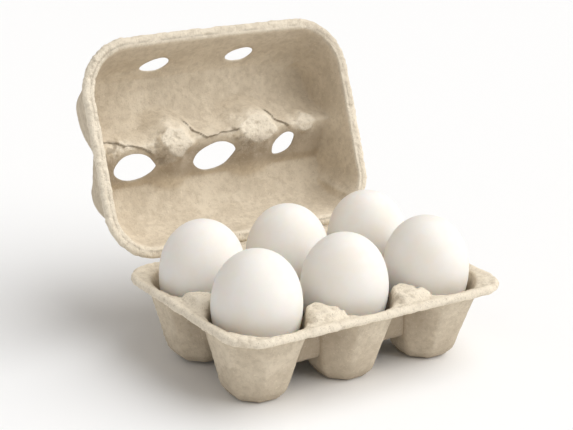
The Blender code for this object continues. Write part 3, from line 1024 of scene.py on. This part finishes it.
def ramp(tree, value, low, high, to_low=0.0, to_high=1.0):
    """Carry a value from one range to another, with soft ends."""
    inputs = {"Value": value, "From Min": low, "From Max": high, "To Min": to_low, "To Max": to_high}
    return node(tree, "MapRange", inputs, interpolation_type="SMOOTHSTEP").outputs["Result"]


def noise(tree, place, scale, detail, roughness, distortion=0.0):
    """Noise at this many waves to the metre."""
    inputs = {"Vector": place, "Scale": scale, "Detail": detail, "Roughness": roughness}
    return node(tree, "TexNoise", inputs | {"Distortion": distortion}).outputs["Fac"]


def scaled(tree, place, scale):
    """Place coordinates, enlarged by this factor."""
    return node(tree, "VectorMath", {0: place, "Scale": scale}, operation="SCALE").outputs["Vector"]


def put_out(tree, result, outputs):
    """Link sockets to the group's outputs of these names."""
    for label, socket in outputs.items():
        tree.links.new(socket, result.inputs[label])


def blend_colours(tree, factor, first, second):
    """Mix two colours by a factor."""
    first, second = (value if is_socket(value) else (*value, 1) for value in (first, second))
    inputs = {"Factor": factor, 6: first, 7: second}
    return node(tree, "Mix", inputs, data_type="RGBA").outputs[2]


def new_finish(name):
    """A new material, its nodes and its shader."""
    material = bpy.data.materials.new(name)
    material.use_nodes = True
    return material, material.node_tree, material.node_tree.nodes["Principled BSDF"]


def add_bump(tree, shader, height, strength, distance):
    """Relief too fine for the mesh."""
    bump = node(tree, "Bump", {"Height": height, "Strength": strength, "Distance": distance})
    tree.links.new(bump.outputs["Normal"], shader.inputs["Normal"])


# %% [markdown]
# The fibre group. A contour line of stretched noise is a thin squiggle, much like a fibre, so the
# band round one value of the noise makes fibres. A second noise breaks them into short pieces.

# %% The pulp's fibres
def make_fibre_group():
    """Fibres, specks, blotches and felt relief."""
    tree, given, result = new_group(
        "pulp_fibres",
        [("Place", "Vector", None), ("Grain", "Float", 1.0)],
        [("Height", "Float"), ("Fibre", "Float"), ("Speck", "Float"), ("Blotch", "Float")],
    )
    place = scaled(tree, given.outputs["Place"], given.outputs["Grain"])
    felt = noise(tree, place, 1100, 4, 0.62, 0.5)
    clump = noise(tree, place, 330, 3, 0.55, 0.3)
    squiggle = noise(tree, place, 420, 2, 0.5, 1.4)
    line = maths(tree, "ABSOLUTE", maths(tree, "SUBTRACT", squiggle, 0.5), 0.0)
    thin = ramp(tree, line, 0.0, 0.022, 1.0, 0.0)
    broken = ramp(tree, noise(tree, place, 640, 2, 0.5), 0.50, 0.60)
    fibre = maths(tree, "MULTIPLY", thin, broken)
    speck_field = node(tree, "TexVoronoi", {"Vector": place, "Scale": 700, "Randomness": 1.0})
    near = ramp(tree, speck_field.outputs["Distance"], 0.10, 0.24, 1.0, 0.0)
    chosen = ramp(tree, noise(tree, place, 410, 1, 0.5), 0.57, 0.64)
    speck = maths(tree, "MULTIPLY", near, chosen)
    wide = noise(tree, place, 75, 4, 0.6, 0.4)
    blotch = ramp(tree, weigh(tree, wide, 0.6, clump, 0.4), 0.38, 0.64)
    height = weigh(tree, felt, 0.55, clump, 0.45)
    height = maths(tree, "ADD", height, maths(tree, "MULTIPLY", fibre, 0.10))
    put_out(tree, result, {"Height": height, "Fibre": fibre, "Speck": speck, "Blotch": blotch})
    return tree


fibres = make_fibre_group()
print("group:", fibres.name, [item.name for item in fibres.interface.items_tree])


# %% [markdown]
# The lip is a free edge, rougher than the walls, with pale crumbs and small hollows between them. This group
# makes a coarse, gritty mask from the same place coordinates, and painted shade that darkens the hollows.

# %% The lip's grit
def make_grit_group():
    """Painted shade in the hollows of a rough edge's relief, and a pale crumbly top."""
    tree, given, result = new_group(
        "edge_grit_and_shade",
        [("Place", "Vector", None), ("Amount", "Float", 1.0)],
        [("Dark", "Float"), ("Pale", "Float"), ("Height", "Float")],
    )
    place = given.outputs["Place"]
    coarse = noise(tree, place, 980, 3, 0.7, 0.8)
    fine = noise(tree, place, 1500, 2, 0.6)
    # Dark is painted shade where the coarse relief is low.
    dark = ramp(tree, coarse, 0.45, 0.34)
    dark = maths(tree, "MULTIPLY", dark, ramp(tree, fine, 0.40, 0.60))
    pale = ramp(tree, coarse, 0.52, 0.66)
    made = {"Dark": dark, "Pale": pale, "Height": weigh(tree, coarse, 0.7, fine, 0.3)}
    amount = given.outputs["Amount"]
    put_out(tree, result, {label: maths(tree, "MULTIPLY", made[label], amount) for label in made})
    return tree


grit = make_grit_group()
print("group:", grit.name, [item.name for item in grit.interface.items_tree])


# %% [markdown]
# The pulp finish. Colour runs from a warm grey tan to pale straw by the blotches; the lip and the posts are a
# little paler. Painted shade makes the pits, the tears, the valleys of the fine relief and the hollows of the
# lip's grit much darker, and darkens the parts that the shade mask marks.

# %% The pulp finish
def mark(tree, name):
    """A mark that the mesh carries."""
    return node(tree, "Attribute", attribute_name=name).outputs["Fac"]


PULP_DARK = (0.62, 0.53, 0.405)
PULP_PALE = (0.735, 0.64, 0.50)
PULP_WORN = (1.0, 0.90, 0.735)
# Painted shade, for the marked recesses, low parts and shaded walls.
PULP_PAINTED_SHADE = (0.33, 0.26, 0.185)
# Real dark specks, also used as painted shade in pits, valleys and the grit's hollows.
PULP_SPECK_AND_SHADE = (0.36, 0.28, 0.19)
# Painted shade in the tears.
PULP_SHADE = (0.20, 0.145, 0.09)


def make_pulp(name, grain):
    """Bare moulded pulp."""
    material, tree, shader = new_finish(name)
    place = node(tree, "TexCoord").outputs["Object"]
    fibre = node(tree, "Group", {"Place": place, "Grain": grain}, node_tree=fibres)
    rough_share = maths(tree, "MAXIMUM", mark(tree, "lip"), mark(tree, "post"))
    edge = node(tree, "Group", {"Place": place, "Amount": rough_share}, node_tree=grit)
    colour = blend_colours(tree, fibre.outputs["Blotch"], PULP_DARK, PULP_PALE)
    # Painted shade in the valleys of the fine relief, everywhere on the pulp.
    valley_shade = ramp(tree, fibre.outputs["Height"], 0.52, 0.36)
    valley_shade = maths(tree, "MULTIPLY", valley_shade, ramp(tree, rough_share, 0.0, 1.0, 0.18, 0.20))
    layers = (
        (rough_share, 0.8, PULP_WORN),
        (valley_shade, 1.0, PULP_SPECK_AND_SHADE),
        # Painted shade where the mesh's painted shade mask is set.
        (mark(tree, "painted_shade"), 0.62, PULP_PAINTED_SHADE),
        (fibre.outputs["Fibre"], 0.35, PULP_WORN),
        (edge.outputs["Pale"], 0.4, PULP_WORN),
        (fibre.outputs["Speck"], 0.45, PULP_SPECK_AND_SHADE),
        # Painted shade in the grit's hollows, the pits and the tears.
        (edge.outputs["Dark"], 0.5, PULP_SPECK_AND_SHADE),
        (mark(tree, "pit"), 0.32, PULP_SPECK_AND_SHADE),
        (mark(tree, "crack"), 0.75, PULP_SHADE),
    )
    for mask, amount, tint in layers:
        colour = blend_colours(tree, maths(tree, "MULTIPLY", mask, amount), colour, tint)
    tree.links.new(colour, shader.inputs["Base Color"])
    tree.links.new(ramp(tree, fibre.outputs["Height"], 0.3, 0.7, 1.0, 0.86), shader.inputs["Roughness"])
    shader.inputs["Specular IOR Level"].default_value = 0.25
    relief = maths(tree, "ADD", fibre.outputs["Height"], maths(tree, "MULTIPLY", edge.outputs["Height"], 1.5))
    add_bump(tree, shader, relief, 0.8, 0.0009)
    return material


# %% [markdown]
# Eggshell is nearly white with a low, waxy sheen. Very faint cloudiness and a fine grain keep it
# from looking like plastic, and a trace of light passes through the shell's surface.

# %% The eggshell finish
SHELL_COOL = (0.84, 0.82, 0.785)
SHELL_WARM = (0.825, 0.79, 0.735)


def make_pore_group():
    """Faint clouds and fine pores."""
    tree, given, result = new_group(
        "shell_pores",
        [("Place", "Vector", None), ("Size", "Float", 1.0)],
        [("Cloud", "Float"), ("Pore", "Float"), ("Height", "Float")],
    )
    place = scaled(tree, given.outputs["Place"], given.outputs["Size"])
    cloud = ramp(tree, noise(tree, place, 60, 3, 0.55), 0.35, 0.68)
    cells = node(tree, "TexVoronoi", {"Vector": place, "Scale": 1500, "Randomness": 1.0})
    pore = ramp(tree, cells.outputs["Distance"], 0.05, 0.28, 1.0, 0.0)
    wavy = noise(tree, place, 900, 3, 0.6)
    height = maths(tree, "SUBTRACT", wavy, maths(tree, "MULTIPLY", pore, 0.5))
    put_out(tree, result, {"Cloud": cloud, "Pore": pore, "Height": height})
    return tree


pores = make_pore_group()
print("group:", pores.name, [item.name for item in pores.interface.items_tree])


def make_shell():
    """White eggshell."""
    material, tree, shader = new_finish("white_eggshell")
    place = node(tree, "TexCoord").outputs["Object"]
    shell = node(tree, "Group", {"Place": place, "Size": 1.0}, node_tree=pores)
    colour = blend_colours(tree, shell.outputs["Cloud"], SHELL_COOL, SHELL_WARM)
    colour = blend_colours(tree, maths(tree, "MULTIPLY", shell.outputs["Pore"], 0.05), colour, PULP_DARK)
    tree.links.new(colour, shader.inputs["Base Color"])
    tree.links.new(ramp(tree, shell.outputs["Cloud"], 0.0, 1.0, 0.56, 0.64), shader.inputs["Roughness"])
    shader.inputs["Specular IOR Level"].default_value = 0.25
    shader.inputs["Subsurface Weight"].default_value = 0.75
    shader.inputs["Subsurface Radius"].default_value = (1.0, 0.75, 0.55)
    shader.inputs["Subsurface Scale"].default_value = 0.014
    add_bump(tree, shader, shell.outputs["Height"], 0.18, 0.0001)
    return material


# %% Dress the pieces
shell_finish = make_shell()
for piece, material in [(tray, make_pulp("tray_pulp", 1.0)), (lid, make_pulp("lid_pulp", 0.96)),
                        (crease, make_pulp("crease_pulp", 1.1))] + [(egg, shell_finish) for egg in eggs]:
    piece.data.materials.clear()
    piece.data.materials.append(material)

# %% Attach the pieces
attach(tray, "tray")
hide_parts("tray")
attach(lid, "lid")
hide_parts("lid")
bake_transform(crease)
for egg, sizes in zip(eggs, EGGS):
    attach(egg, "tray")
    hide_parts(sizes[0])
print("attached:", len(eggs) + 3, "pieces")

# %% [markdown]
# ## Camera
# It looks down on the open carton from the front left, from far off with a long lens, so that near
# and far eggs look about the same size. It is turned a little about its own axis.

# %% Camera
CAMERA_AZIMUTH = math.radians(-33.78)
CAMERA_ELEVATION = math.radians(18.46)
CAMERA_ROLL = math.radians(1.2)
CAMERA_DISTANCE = 0.650
CAMERA_LENS = 96.7
SENSOR_WIDTH = 36
LOOK_AT = Vector((-0.0583, -0.0926, 0.0992))

back = Vector((math.sin(CAMERA_AZIMUTH) * math.cos(CAMERA_ELEVATION),
               -math.cos(CAMERA_AZIMUTH) * math.cos(CAMERA_ELEVATION),
               math.sin(CAMERA_ELEVATION)))
right = Vector((0, 0, 1)).cross(back).normalized()
up = back.cross(right)
level = Matrix((right, up, back)).transposed().to_4x4()
camera_data = bpy.data.cameras.new("camera")
camera_data.lens = CAMERA_LENS
camera_data.sensor_width = SENSOR_WIDTH
camera = bpy.data.objects.new("camera", camera_data)
place = Matrix.Translation(LOOK_AT + back * CAMERA_DISTANCE)
camera.matrix_world = place @ level @ Matrix.Rotation(CAMERA_ROLL, 4, "Z")
bpy.context.scene.collection.objects.link(camera)
bpy.context.scene.camera = camera
print("camera lens", CAMERA_LENS, "distance", CAMERA_DISTANCE)

# %% [markdown]
# ## Floor and light
# A plain pale floor, a pale dome of light all round for soft fill, one broad lamp high on the right,
# and a weak one low on the left. Their wide angle keeps the shadows soft, as a big light box does.

# %% Floor
FLOOR_HALF = 4
FLOOR_COLOUR = (0.92, 0.92, 0.92, 1)
FLOOR_ROUGHNESS = 0.9
bm = bmesh.new()
bmesh.ops.create_grid(bm, x_segments=1, y_segments=1, size=FLOOR_HALF)
floor = new_piece("floor", bm)
paint, _, paint_shader = new_finish("pale_floor")
paint_shader.inputs["Base Color"].default_value = FLOOR_COLOUR
paint_shader.inputs["Roughness"].default_value = FLOOR_ROUGHNESS
floor.data.materials.append(paint)

# %% Light
FILL_STRENGTH = 0.38
FILL_COLOUR = (1.0, 0.98, 0.955, 1)
KEY_STRENGTH = 2.8
KEY_FROM = Vector((0.62, -0.46, 0.90))
LAMP_ANGLE = math.radians(75)
SIDE_STRENGTH = 0.30
SIDE_FROM = Vector((-1.0, -0.2, 0.4))
world = bpy.data.worlds.new("studio")
world.use_nodes = True
world.node_tree.nodes["Background"].inputs["Color"].default_value = FILL_COLOUR
world.node_tree.nodes["Background"].inputs["Strength"].default_value = FILL_STRENGTH
bpy.context.scene.world = world
for name, strength, way in (("key", KEY_STRENGTH, KEY_FROM), ("side", SIDE_STRENGTH, SIDE_FROM)):
    light = bpy.data.lights.new(name, "SUN")
    light.energy = strength
    light.angle = LAMP_ANGLE
    lamp = bpy.data.objects.new(name, light)
    lamp.rotation_euler = way.to_track_quat("Z", "Y").to_euler()
    bpy.context.scene.collection.objects.link(lamp)
bpy.context.scene.view_settings.view_transform = "Standard"
print("fill", FILL_STRENGTH, "key", KEY_STRENGTH)
